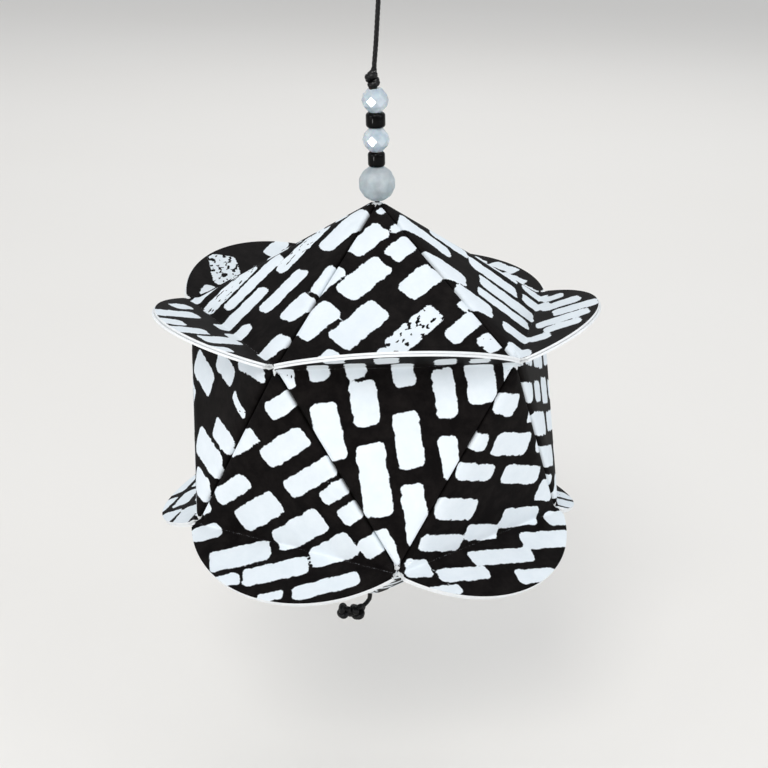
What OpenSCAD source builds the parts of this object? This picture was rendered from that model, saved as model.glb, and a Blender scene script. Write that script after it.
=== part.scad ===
// Kusudama ball of twenty folded card circles, strung on a cord with five beads, a top knot,
// a bottom knot and a hanging loop. Millimetres, +Z up. The origin is the inside top of the
// loop, where the ball hangs; the middle of the ball is straight below it, and -Y is the front.

/* [Card circles] */
// Diameter of each card circle
circle_d = 60; // [48:0.5:75]
// Thickness of the card
card_t = 0.5; // [0.3:0.05:0.7]
// Outside radius of the folds that turn into the ball
inner_fold_r = 0.8; // [0.8:0.05:1.4]
// Outside radius of the folds that turn out into a fin
fin_fold_r = 1; // [0.8:0.05:1.4]
// Glue gap between two flaps
glue_gap = 0.1; // [0.06:0.02:0.2]
// How far each fold stops short of the corners
corner_gap = 0.8; // [0.5:0.1:2]

/* [Fins] */
// Mean droop of the five upper fins below square
upper_droop = 12; // [4:1:16]
// Mean rise of the five lower fins above square
lower_rise = 7; // [4:1:16]

/* [Beads] */
// Width of the big frosted bead
big_bead_d = 8.1; // [6:0.1:12]
// Height of the big frosted bead
big_bead_h = 7.4; // [5:0.1:11]
// Width of the two small faceted beads
faceted_bead_d = 6; // [4.5:0.1:9]
// Height of the two small faceted beads
faceted_bead_h = 5.2; // [4:0.1:8]
// Width of the upper black seed bead
upper_seed_d = 4.3; // [3:0.1:6]
// Width of the lower black seed bead
lower_seed_d = 3.8; // [3:0.1:6]
// Height of the black seed beads
seed_h = 3.4; // [2:0.1:5]
// Bore through every bead
bore_d = 1.4; // [1.3:0.05:1.8]
// Lean of the row of beads away from upright, towards -X
stack_lean = 2.4; // [0:0.2:3]

/* [Cord] */
// Diameter of the cord
cord_d = 1.1; // [0.8:0.05:1.2]
// Width of the top knot
top_knot_w = 3; // [2.6:0.1:4]
// Height of the top knot
top_knot_h = 4; // [3.4:0.1:5]
// Length of cord between the top knot and the loop's knot
rise_h = 20; // [16:1:40]
// Height of the knot under the loop
loop_knot_h = 4; // [3.4:0.1:5]
// Height of the hanging loop above its knot
loop_h = 42; // [30:1:60]
// Width of the hanging loop
loop_w = 11; // [8:1:16]

/* [Hidden] */
$fn = 64;

card_color = [0.16, 0.15, 0.15];
milk_color = [0.86, 0.92, 0.95];
frost_color = [0.66, 0.71, 0.74];
black_color = [0.05, 0.05, 0.06];
cord_color = [0.1, 0.1, 0.1];

// The ball is a regular icosahedron whose faces are the triangles inscribed in the circles.
circle_r = circle_d / 2;
edge = circle_r * sqrt(3);
crease = circle_r / 2;
face_h = edge * (3 * sqrt(3) + sqrt(15)) / 12;
apex_h = edge * sin(72);
square_fin = acos(-sqrt(5) / 3) / 2;
cap_tilt = acos(face_h / apex_h);
band_tilt = cap_tilt + 180 - 2 * square_fin;
half_gap = glue_gap / 2;
hole_r = cord_d / 2 + 0.25;
crown_cut = 1.2;
fold_steps = 8;
seat_h = apex_h - crown_cut;
droop = [for (d = [-7, 0, 12, -2, 5]) upper_droop + d];
rise = [for (d = [0, 1, 0, -2, 1]) lower_rise + d];

// Heights in the row of beads, from the seat on the crown of the ball.
big_z = 0.06;
lower_seed_z = big_z + big_bead_h;
lower_faceted_z = lower_seed_z + seed_h;
upper_seed_z = lower_faceted_z + faceted_bead_h;
upper_faceted_z = upper_seed_z + seed_h;
knot_z = upper_faceted_z + faceted_bead_h;

// Points above the row of beads, from the middle of the ball.
knot_top_x = -(knot_z + top_knot_h) * sin(stack_lean);
knot_top_h = seat_h + (knot_z + top_knot_h) * cos(stack_lean);
loop_knot_x = -0.4;
loop_knot_z = knot_top_h + rise_h;
loop_base_z = loop_knot_z + loop_knot_h;
drop = loop_base_z + loop_h;

// ---- folded card circles

// Where the lines at distances a and b from the middle cross, facing directions s and t.
function cross_point(a, s, b, t) =
  [(a * sin(t) - b * sin(s)) / sin(t - s), (b * cos(s) - a * cos(t)) / sin(t - s)];

// Distance from the middle of the panel to where a fold of the given turn begins.
function fold_start(turn, corner, r) = corner - r * tan(turn / 2);

inner_turn = 180 - square_fin;
inner_corner = crease - half_gap / sin(square_fin);
inner_start = fold_start(inner_turn, inner_corner, inner_fold_r);

function fin_corner(turn) = crease - card_t / tan(square_fin) - half_gap / sin(turn);

// The triangle left flat between the three folds, with the fin's fold across +X. It is a
// hair thicker than the folds, which start inside it.
module panel(fin_start) {
  translate([0, 0, -card_t - 0.005]) linear_extrude(card_t + 0.01)
    polygon([cross_point(fin_start, 0, inner_start, 120),
      cross_point(inner_start, 120, inner_start, 240),
      cross_point(inner_start, 240, fin_start, 0)]);
}

function arc(r, from, to) = [for (i = [0:fold_steps])
  let (angle = from + (to - from) * i / fold_steps) r * [cos(angle), sin(angle)]];

// Section of a fold and its flap, turned down from a strip that lies inside the panel.
module fold_section(turn, r, flap) {
  end = 90 - turn;
  along = flap * [sin(end), -cos(end)];
  polygon(concat([[-1, r]], arc(r, 90, end), [r * [cos(end), sin(end)] + along],
    [(r - card_t) * [cos(end), sin(end)] + along], arc(r - card_t, end, 90),
    [[-1, r - card_t]]));
}

// A fold across +X with the round flap beyond it.
module flap(turn, corner, r) {
  start = fold_start(turn, corner, r);
  reach = circle_r - start - (r - card_t / 2) * turn * PI / 180;
  span = edge - 2 * corner_gap;
  intersection() {
    translate([start, 0, -r]) rotate([90, 0, 0])
      linear_extrude(span, center = true) fold_section(turn, r, reach + 1);
    translate([start, 0, -r]) rotate([0, turn - 90, 0])
      translate([0, 0, circle_r - reach]) rotate([0, 90, 0])
        cylinder(r = circle_r, h = 6 * r, center = true);
    linear_extrude(2 * circle_d, center = true)
      polygon([[0.15, 0], [circle_d, -circle_d * tan(59.7)], [circle_d, circle_d * tan(59.7)]]);
  }
}

// One card circle with its printed side up: two flaps fold in and the one across +X folds out.
module folded_circle(turn) {
  panel(fold_start(turn, fin_corner(turn), fin_fold_r));
  for (side = [120, 240])
    rotate(side) flap(inner_turn, inner_corner, inner_fold_r);
  translate([0, 0, -card_t]) mirror([0, 0, 1]) flap(turn, fin_corner(turn), fin_fold_r);
}

// Sets a card circle on the ball, from its face's tilt and bearing; the fin is at its lower
// edge, or at its upper edge where fin_up is true.
module on_ball(tilt, bearing, fin_up = false) {
  rotate([0, tilt, bearing]) translate([0, 0, face_h]) rotate(fin_up ? 180 : 0) children();
}

module top_disc(n) {
  color(card_color) difference() {
    on_ball(cap_tilt, 72 * n - 90) folded_circle(square_fin - droop[n]);
    translate([0, 0, 20]) cylinder(r = hole_r, h = apex_h);
    translate([0, 0, seat_h]) cylinder(r = 8, h = 8);
  }
}

module upper_disc(n) {
  color(card_color)
    on_ball(band_tilt, 72 * n - 90, true) folded_circle(square_fin + droop[n]);
}

module lower_disc(n) {
  color(card_color)
    on_ball(180 - band_tilt, 72 * n - 54) folded_circle(square_fin + rise[n]);
}

module bottom_disc(n) {
  color(card_color) difference() {
    on_ball(180 - cap_tilt, 72 * n - 54, true) folded_circle(square_fin - rise[n]);
    translate([0, 0, -20 - apex_h]) cylinder(r = hole_r, h = apex_h);
  }
}

// ---- beads

module on_row(z) {
  translate([0, 0, seat_h]) rotate([0, -stack_lean, 0]) translate([0, 0, z]) children();
}

// A faceted bead on its base: rings of corners at latitudes, each turned half a step.
module faceted_bead(d, h, sides, latitudes) {
  last = len(latitudes) - 1;
  top = latitudes[last];
  waist = min([for (l = latitudes) abs(l)]);
  corners = [for (i = [0:last]) for (j = [0:sides - 1])
    let (angle = 360 / sides * (j + (i % 2) / 2), r = d / 2 * cos(latitudes[i]) / cos(waist))
      [r * cos(angle), r * sin(angle), h / 2 * (1 + sin(latitudes[i]) / sin(top))]];
  facets = [for (i = [0:last - 1]) for (j = [0:sides - 1])
    let (a = i * sides + j, b = i * sides + (j + 1) % sides,
      c = (i + 1) * sides + j, e = (i + 1) * sides + (j + 1) % sides)
      each (i % 2 == 0 ? [[a, c, b], [b, c, e]] : [[a, c, e], [a, e, b]])];
  difference() {
    polyhedron(corners, concat(facets,
      [[for (j = [0:sides - 1]) j]],
      [[for (j = [sides - 1:-1:0]) last * sides + j]]));
    translate([0, 0, -1]) cylinder(d = bore_d, h = h + 2);
  }
}

module seed_bead(d) {
  r = 0.8;
  rotate_extrude() difference() {
    union() {
      square([d / 2 - r, seed_h]);
      translate([0, r]) square([d / 2, seed_h - 2 * r]);
      for (y = [r, seed_h - r]) translate([d / 2 - r, y]) circle(r);
    }
    translate([0, -1]) square([bore_d / 2, seed_h + 2]);
  }
}

module big_bead() {
  color(frost_color) on_row(big_z)
    faceted_bead(big_bead_d, big_bead_h, 10, [-66, -42, -14, 14, 42, 66]);
}

module lower_seed_bead() {
  color(black_color) on_row(lower_seed_z) seed_bead(lower_seed_d);
}

module lower_faceted_bead() {
  color(milk_color) on_row(lower_faceted_z)
    faceted_bead(faceted_bead_d, faceted_bead_h, 8, [-62, -30, 0, 30, 62]);
}

module upper_seed_bead() {
  color(black_color) on_row(upper_seed_z) seed_bead(upper_seed_d);
}

module upper_faceted_bead() {
  color(milk_color) on_row(upper_faceted_z)
    rotate(20) faceted_bead(faceted_bead_d, faceted_bead_h, 8, [-62, -30, 0, 30, 62]);
}

// ---- cord

function unit(v) = v / norm(v);

// The bisecting direction of a route at point i.
function heading(route, i) = unit(
  (i < len(route) - 1 ? unit(route[i + 1] - route[i]) : [0, 0, 0])
  + (i > 0 ? unit(route[i] - route[i - 1]) : [0, 0, 0]));

// A point on the smooth curve through four points, between the middle two.
function smooth(p, q, r, s, t) = 0.5 * ((2 * q) + (r - p) * t
  + (2 * p - 5 * q + 4 * r - s) * t * t + (3 * q - p - 3 * r + s) * t * t * t);

// The route with steps points added to each stretch; the end stretches lead straight off.
function fine(route, steps) = let (n = len(route) - 1)
  concat([for (i = [0:n - 1]) for (k = [0:steps - 1])
    smooth(i > 0 ? route[i - 1] : 2 * route[0] - route[1], route[i], route[i + 1],
      i < n - 1 ? route[i + 2] : 2 * route[n] - route[n - 1], k / steps)], [route[n]]);

// A tube of eight sides along a route that keeps to planes which hold the side direction.
module tube(route, side) {
  n = len(route) - 1;
  rings = [for (i = [0:n]) let (h = heading(route, i), b = unit(cross(h, side)),
      a = cross(b, h)) for (k = [0:7])
    route[i] + cord_d / 2 * (cos(45 * k) * a + sin(45 * k) * b)];
  walls = [for (i = [0:n - 1]) for (k = [0:7])
    let (p = 8 * i + k, q = 8 * i + (k + 1) % 8) each [[p, p + 8, q], [q, p + 8, q + 8]]];
  polyhedron(rings, concat(walls, [[for (k = [0:7]) k]],
    [[for (k = [7:-1:0]) 8 * n + k]]));
}

// One round turn of cord in a knot, about +Z.
module turn_of_cord(w) {
  rotate_extrude() translate([w / 2 - cord_d / 2, 0]) circle(d = cord_d);
}

// A knot on its base with a turn of cord above and below, around the cord's own line.
module round_knot(w, h) {
  cylinder(d = cord_d, h = h);
  translate([0.1 * w, 0, 0.32 * h]) rotate([8, 14, 0]) turn_of_cord(0.86 * w);
  translate([-0.1 * w, 0, 0.64 * h]) rotate([-6, 10, 0]) turn_of_cord(0.8 * w);
  cylinder(d = 0.66 * w, h = 0.8 * h);
}

row_end = [-knot_z * sin(stack_lean), 0, seat_h + knot_z * cos(stack_lean)];
tail = [[-1.7, -0.55, -1.7], [-0.75, -0.25, -0.95], [-0.1, -0.03, -0.1], [0, 0, 0.6], [0, 0, 3]];
inner_route = concat([for (p = tail) p - [0, 0, apex_h]],
  [for (z = [-8:2:8]) [0, 0, z * apex_h / 10.5]], [[0, 0, seat_h - 1.2]],
  [for (s = [0.1, 0.4, 0.7]) [0, 0, seat_h] + s * (row_end - [0, 0, seat_h])], [row_end]);

// The loop's own points as shares of its width and height.
loop_shares = [[-0.055, 0], [-0.056, 0.025], [-0.1, 0.09], [-0.25, 0.24], [-0.42, 0.47],
  [-0.5, 0.7], [-0.4, 0.9], [-0.2, 0.985], [0, 1], [0.2, 0.985], [0.4, 0.9], [0.5, 0.7],
  [0.42, 0.47], [0.25, 0.24], [0.1, 0.09], [0.056, 0.025], [0.055, 0]];

module inner_cord() {
  color(cord_color) tube(inner_route, [0, 1, 0]);
}

module top_knot() {
  color(cord_color) on_row(knot_z) round_knot(top_knot_w, top_knot_h);
}

// A bulky knot of two lobes to one side of the bottom hole, on the end of the inner cord.
module bottom_knot() {
  color(cord_color) translate(tail[0] - [0, 0, apex_h]) difference() {
    translate([-1.29, -0.41, -1.02]) {
      rotate([0, 90, 0]) sphere(2.1);
      translate([-3.3, -0.25, 0.3]) rotate([0, 90, 0]) sphere(1.9);
    }
    rotate([0, 53, 17.5]) cylinder(d1 = cord_d + 0.2, d2 = 5 * cord_d, h = 3);
  }
}

module cord_rise() {
  color(cord_color) tube(fine([[knot_top_x, 0, knot_top_h],
    [knot_top_x - sin(stack_lean), 0, knot_top_h + cos(stack_lean)],
    [knot_top_x * 0.8, 0, knot_top_h + rise_h * 0.3],
    [loop_knot_x - 0.25, 0, knot_top_h + rise_h * 0.7],
    [loop_knot_x, 0, loop_knot_z - 1], [loop_knot_x, 0, loop_knot_z]], 3), [0, 1, 0]);
}

module loop_knot() {
  color(cord_color) {
    translate([loop_knot_x, 0, loop_knot_z]) round_knot(3.4, loop_knot_h);
    for (side = [-1, 1]) translate([side * loop_shares[0][0] * loop_w, 0, loop_base_z - 2])
      cylinder(d = cord_d, h = 2);
  }
}

module cord_loop() {
  color(cord_color) tube(fine([for (p = loop_shares)
    [p[0] * loop_w, 0, loop_base_z + p[1] * (loop_h + cord_d / 2)]], 3), [0, 1, 0]);
}

// ---- everything, hung below the origin

translate([0, 0, -drop]) {
  for (n = [0:4]) {
    top_disc(n);
    upper_disc(n);
    lower_disc(n);
    bottom_disc(n);
  }
  big_bead();
  lower_seed_bead();
  lower_faceted_bead();
  upper_seed_bead();
  upper_faceted_bead();
  inner_cord();
  top_knot();
  bottom_knot();
  cord_rise();
  loop_knot();
  cord_loop();
}
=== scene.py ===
import math
import random

import bmesh
import bpy
import numpy as np
from mathutils import Matrix, Vector


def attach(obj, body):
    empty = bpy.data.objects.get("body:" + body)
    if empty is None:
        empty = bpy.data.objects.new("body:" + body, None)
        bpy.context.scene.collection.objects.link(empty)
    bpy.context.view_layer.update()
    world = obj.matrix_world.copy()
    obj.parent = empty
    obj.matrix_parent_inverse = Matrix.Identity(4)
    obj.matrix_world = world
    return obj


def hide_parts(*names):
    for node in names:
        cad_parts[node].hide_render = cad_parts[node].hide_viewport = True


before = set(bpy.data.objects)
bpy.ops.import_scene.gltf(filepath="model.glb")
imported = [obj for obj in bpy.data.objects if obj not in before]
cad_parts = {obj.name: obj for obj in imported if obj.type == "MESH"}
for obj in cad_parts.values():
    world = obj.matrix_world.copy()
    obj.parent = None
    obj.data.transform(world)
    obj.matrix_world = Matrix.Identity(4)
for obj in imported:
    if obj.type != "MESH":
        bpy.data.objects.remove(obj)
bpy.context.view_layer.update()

mm = 0.001
ballDrop = 142.853          # from the top of the loop down to the middle of the ball


def deselectAll():
    if bpy.context.mode != "OBJECT":
        bpy.ops.object.mode_set(mode="OBJECT")
    bpy.ops.object.select_all(action="DESELECT")


def makeActive(obj):
    deselectAll()
    obj.select_set(True)
    bpy.context.view_layer.objects.active = obj


def applyModifiers(obj):
    makeActive(obj)
    for name in [m.name for m in obj.modifiers]:
        bpy.ops.object.modifier_apply(modifier=name)


def placeAndApply(obj, matrix):
    # moves a finished piece to its place and puts that place into its mesh
    makeActive(obj)
    obj.matrix_world = matrix @ obj.matrix_world
    bpy.ops.object.transform_apply(location=True, rotation=True, scale=True)


def turn(degrees, axis):
    return Matrix.Rotation(math.radians(degrees), 4, axis)


def shift(x, y, z):
    return Matrix.Translation((x * mm, y * mm, z * mm))


def turnSelected(degrees, axis, centre):
    # with no window the operator turns the other way, so the angle is given negative
    bpy.ops.transform.rotate(value=-math.radians(degrees), orient_axis=axis,
                             center_override=centre)


# The camera, and the cord in its plies.

camera = {
    "place": (-47.47, -356.68, 132.61),     # from the middle of the ball, in mm
    "right": (0.99115, -0.13125, 0.01991),
    "up": (0.02522, 0.33343, 0.94244),
    "lens": 78.11, "sensor": 36,
    "near": 0.01,                           # nearest thing it draws, in metres
}


def makeCamera():
    deselectAll()
    bpy.ops.object.camera_add()
    cam = bpy.context.object
    right, up = Vector(camera["right"]), Vector(camera["up"])
    back = right.cross(up)
    place = Vector(camera["place"]) - Vector((0, 0, ballDrop))
    cam.matrix_world = Matrix((
        (right.x, up.x, back.x, place.x * mm),
        (right.y, up.y, back.y, place.y * mm),
        (right.z, up.z, back.z, place.z * mm),
        (0, 0, 0, 1)))
    cam.data.lens = camera["lens"]
    cam.data.sensor_width = camera["sensor"]
    cam.data.clip_start = camera["near"]
    bpy.context.scene.camera = cam


makeCamera()
print("camera made")


cord = {
    "diameter": 1.1,
    "lay": 3.3,             # length of one full twist of the three plies
    "step": 0.28,           # spacing of the rings along the cord
    "sides": 30,
    "curveSteps": 40,       # places worked out between two points of a route
    "groove": 0.15,         # how deep the grooves between the plies are, as a share
    "rise": [(-1.2, 0, 76.853), (-1.242, 0, 77.852), (-0.96, 0, 82.853), (-0.65, 0, 90.853),
             (-0.4, 0, 95.853), (-0.4, 0, 96.853), (-0.45, 0, 98.8)],
    "loop": [(-0.055, 0), (-0.056, 0.025), (-0.1, 0.09), (-0.25, 0.24), (-0.42, 0.47),
             (-0.5, 0.7), (-0.4, 0.9), (-0.2, 0.985), (0, 1), (0.2, 0.985), (0.4, 0.9),
             (0.5, 0.7), (0.42, 0.47), (0.25, 0.24), (0.1, 0.09), (0.056, 0.025), (0.055, 0)],
    "loopWidth": 11,
    "loopHeight": 42.55,
    "loopBase": 100.853,
}


def smoothRoute(points, step):
    # a smooth curve through the points, cut into equal short steps
    pts = [Vector(p) for p in points]
    pts = [pts[0] * 2 - pts[1]] + pts + [pts[-1] * 2 - pts[-2]]
    dense = []
    for i in range(1, len(pts) - 2):
        p, q, r, s = pts[i - 1:i + 3]
        for k in range(cord["curveSteps"]):
            t = k / cord["curveSteps"]
            dense.append(0.5 * (2 * q + (r - p) * t + (2 * p - 5 * q + 4 * r - s) * t * t
                                + (3 * q - p - 3 * r + s) * t * t * t))
    dense.append(pts[-2])
    lengths = [0.0]
    for a, b in zip(dense, dense[1:]):
        lengths.append(lengths[-1] + (b - a).length)
    count = max(3, int(lengths[-1] / step))
    route, j = [], 0
    for i in range(count + 1):
        want = lengths[-1] * i / count
        while j < len(lengths) - 2 and lengths[j + 1] < want:
            j += 1
        share = (want - lengths[j]) / max(lengths[j + 1] - lengths[j], 1e-9)
        route.append(dense[j].lerp(dense[j + 1], min(max(share, 0), 1)))
    return route


def plySection(diameter):
    # section of a cord of three plies, as a closed line to sweep
    data = bpy.data.curves.new("plySection", "CURVE")
    data.dimensions = "2D"
    line = data.splines.new("POLY")
    line.points.add(cord["sides"] - 1)
    for i, point in enumerate(line.points):
        angle = 2 * math.pi * i / cord["sides"]
        dip = abs(math.sin(1.5 * angle))            # 0 at a groove, 1 on top of a ply
        r = diameter / 2 * (1 - cord["groove"] * (1 - dip) ** 1.4)
        point.co = (r * math.cos(angle) * mm, r * math.sin(angle) * mm, 0, 1)
    line.use_cyclic_u = True
    section = bpy.data.objects.new("plySection", data)
    bpy.context.scene.collection.objects.link(section)
    return section


def twistedCord(name, route, diameter, closed=False):
    # sweeps the section along a route in mm, twisting it, and turns it into a mesh
    section = plySection(diameter)
    data = bpy.data.curves.new(name, "CURVE")
    data.dimensions = "3D"
    data.twist_mode = "MINIMUM"
    data.bevel_mode = "OBJECT"
    data.bevel_object = section
    data.use_fill_caps = True
    line = data.splines.new("POLY")
    line.points.add(len(route) - 1)
    along, last = 0.0, None
    for point, place in zip(line.points, route):
        if last is not None:
            along += (place - last).length
        last = place
        point.co = (place.x * mm, place.y * mm, place.z * mm, 1)
        point.tilt = 2 * math.pi * along / cord["lay"]
    line.use_cyclic_u = closed
    obj = bpy.data.objects.new(name, data)
    bpy.context.scene.collection.objects.link(obj)
    makeActive(obj)
    bpy.ops.object.convert(target="MESH")
    obj = bpy.context.object
    bpy.data.objects.remove(section)
    bpy.ops.object.mode_set(mode="EDIT")
    bpy.ops.mesh.select_all(action="SELECT")
    bpy.ops.mesh.remove_doubles(threshold=1e-7)
    bpy.ops.mesh.normals_make_consistent(inside=False)
    bpy.ops.object.mode_set(mode="OBJECT")
    bpy.ops.object.shade_smooth_by_angle(angle=math.radians(60))
    return obj


def ballPoints(points):
    # points from the middle of the ball, moved to hang below the loop
    return [Vector((x, y, z - ballDrop)) for x, y, z in points]


def makeHangingCord():
    loop = [(x * cord["loopWidth"], 0, cord["loopBase"] + z * cord["loopHeight"])
            for x, z in cord["loop"]]
    route = smoothRoute(ballPoints(cord["rise"] + loop), cord["step"])
    obj = twistedCord("hangingCord", route, cord["diameter"])
    length = sum((b - a).length for a, b in zip(route, route[1:]))
    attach(obj, "root")
    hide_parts("cord_rise", "cord_loop")
    return obj, route, length


# a small knot: turns of the cord round a core, both as shares of the knot or cord unless in mm
knotShape = {
    "pointsPerTurn": 16,
    "firstHeight": 0.45,            # share of the strand
    "ringStep": 0.8,                # share of the cord's own step
    "coreWidth": 0.42,              # share of the knot's width
    "coreHeights": (0.05, 1.3, 2.6), "coreShort": 0.1,      # in mm
}


def windings(base, lean, size):
    # a strand that climbs round its own standing part, for a small tight knot
    radius = (size["width"] - size["strand"]) / 2
    steps = int(size["turns"] * knotShape["pointsPerTurn"])
    points = []
    for i in range(steps + 1):
        share = i / steps
        angle = math.radians(size["start"]) + 2 * math.pi * size["turns"] * share
        z = (size["strand"] * knotShape["firstHeight"]
             + (size["height"] - size["strand"]) * share)
        z += size["slant"] * math.cos(angle)
        side = size["aside"] + size["wander"] * (1 - 2 * share)
        points.append(Vector((side + radius * math.cos(angle), radius * math.sin(angle), z)))
    tilt = turn(lean, "Y")
    return [tilt @ p + Vector(base) for p in points]


def joinPieces(name, pieces):
    deselectAll()
    for p in pieces:
        p.select_set(True)
    bpy.context.view_layer.objects.active = pieces[0]
    bpy.ops.object.join()
    obj = bpy.context.object
    obj.name = name
    obj.data.name = name
    return obj


rowOfBeads = {"lean": 2.4, "seat": 48.218}


def onRow(z):
    # a place above the seat, along the leaning row of beads
    a = math.radians(rowOfBeads["lean"])
    return (-z * math.sin(a), 0, rowOfBeads["seat"] + z * math.cos(a) - ballDrop)


knots = {
    "top": {"width": 3.3, "height": 4.8, "strand": 2.1, "turns": 1.3, "wander": 0.15,
            "slant": 0.1, "start": 215, "z": 24.2, "aside": -0.5},
    "loop": {"width": 3.4, "height": 4.0, "strand": 1.3, "turns": 2.6, "wander": 0.15,
             "slant": 0.2, "start": 20, "aside": 0, "base": (-0.4, 0, 96.853)},
}


def makeKnot(name, base, lean, size, replaced):
    strand = windings(base, lean, size)
    outer = twistedCord(name + "Turns", smoothRoute(strand, cord["step"] * knotShape["ringStep"]),
                        size["strand"])
    tilt = turn(lean, "Y")
    core = [tilt @ Vector((size["aside"] * math.sin(math.pi * z / size["height"]), 0, z))
            + Vector(base)
            for z in (*knotShape["coreHeights"], size["height"] - knotShape["coreShort"])]
    inner = twistedCord(name + "Core", smoothRoute(core, cord["step"]),
                        size["width"] * knotShape["coreWidth"])
    knot = joinPieces(name, [outer, inner])
    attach(knot, "root")
    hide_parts(replaced)
    return knot


tailKnot = {
    "lowest": -49.418,              # the ball's lowest corner, from the middle of the ball
    "lobes": {                      # centres from the lowest corner, in mm
        "A": {"centre": (-2.99, -0.96, -2.72), "size": 0.46, "strand": 1.6,
              "turned": turn(62, "X") @ turn(20, "Y")},
        "B": {"centre": (-6.29, -1.21, -2.42), "size": 0.4, "strand": 1.55,
              "turned": turn(35, "Y") @ turn(75, "X")},
    },
    "bridge": [(-3.2, -1.0, -2.6), (-4.7, -1.0, -2.9), (-6.1, -1.2, -2.4)],
    "bridgeStrand": 2.4, "bridgeStep": 0.25,
    "lobeStep": 0.22, "lobePoints": 72, "lobeDepth": 1.9,
}


def overhandRoute(centre, size, matrix):
    # the line of a pulled-tight overhand knot
    points = []
    for i in range(tailKnot["lobePoints"] + 1):
        t = 2 * math.pi * i / tailKnot["lobePoints"]
        p = Vector((math.sin(t) + 2 * math.sin(2 * t), math.cos(t) - 2 * math.cos(2 * t),
                    -tailKnot["lobeDepth"] * math.sin(3 * t))) * size
        points.append(matrix @ p + Vector(centre))
    return points


def makeBottomKnot():
    # two tight knots, one beside the other, to one side of the bottom hole
    apex = tailKnot["lowest"] - ballDrop

    def underBall(place):
        x, y, z = place
        return (x, y, apex + z)

    parts = []
    for name, lobe in tailKnot["lobes"].items():
        line = overhandRoute(underBall(lobe["centre"]), lobe["size"], lobe["turned"])
        parts.append(twistedCord("bottomKnot" + name, smoothRoute(line, tailKnot["lobeStep"]),
                                 lobe["strand"]))
    bridge = [Vector(underBall(p)) for p in tailKnot["bridge"]]
    parts.append(twistedCord("bottomKnotC", smoothRoute(bridge, tailKnot["bridgeStep"]),
                             tailKnot["bridgeStrand"]))
    knot = joinPieces("bottomKnot", parts)
    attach(knot, "root")
    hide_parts("bottom_knot")
    return knot


hangingCord, cordRoute, cordLength = makeHangingCord()
topKnot = makeKnot("topKnot", onRow(knots["top"]["z"]), -rowOfBeads["lean"], knots["top"], "top_knot")
loopKnot = makeKnot("loopKnot", ballPoints([knots["loop"]["base"]])[0], 0, knots["loop"],
                    "loop_knot")
bottomKnot = makeBottomKnot()
print("cord and knots made,", round(cordLength, 1), "mm of cord shown")


# The materials, each named for the real finish.

def srgb(code):
    # a hex colour as the screen shows it, turned to linear
    values = [int(code[i:i + 2], 16) / 255 for i in (1, 3, 5)]
    return tuple(v / 12.92 if v <= 0.04045 else ((v + 0.055) / 1.055) ** 2.4
                 for v in values) + (1.0,)


def addNode(material, kind, inputs=None, **settings):
    # one node with its settings, and its inputs by name or place, as values or as links
    node = material.node_tree.nodes.new(kind)
    for name, value in settings.items():
        setattr(node, name, value)
    for name, value in (inputs or {}).items():
        if isinstance(value, bpy.types.NodeSocket):
            material.node_tree.links.new(value, node.inputs[name])
        else:
            node.inputs[name].default_value = value
    return node


def newMaterial(name):
    material = bpy.data.materials.new(name)
    material.use_nodes = True
    material.node_tree.nodes.clear()
    return material


def finishMaterial(material, shader):
    addNode(material, "ShaderNodeOutputMaterial", {"Surface": shader.outputs[0]})
    return material


printedCardLook = {
    "ink": "#0d0b0b", "inkWorn": "#1d1a19", "blank": "#e9eff3", "blankShade": "#d6dfe5",
    "inset": 0.22,          # how much smaller than drawn the dabs print, in mm
    "ragged": 0.3,          # how far the edge of a dab wanders, in mm
    "frayed": 0.11,         # and the finer fray on top of that
    "tooth": 1.4,           # bumps of the card per mm, coarser than real so that they show
}


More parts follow.
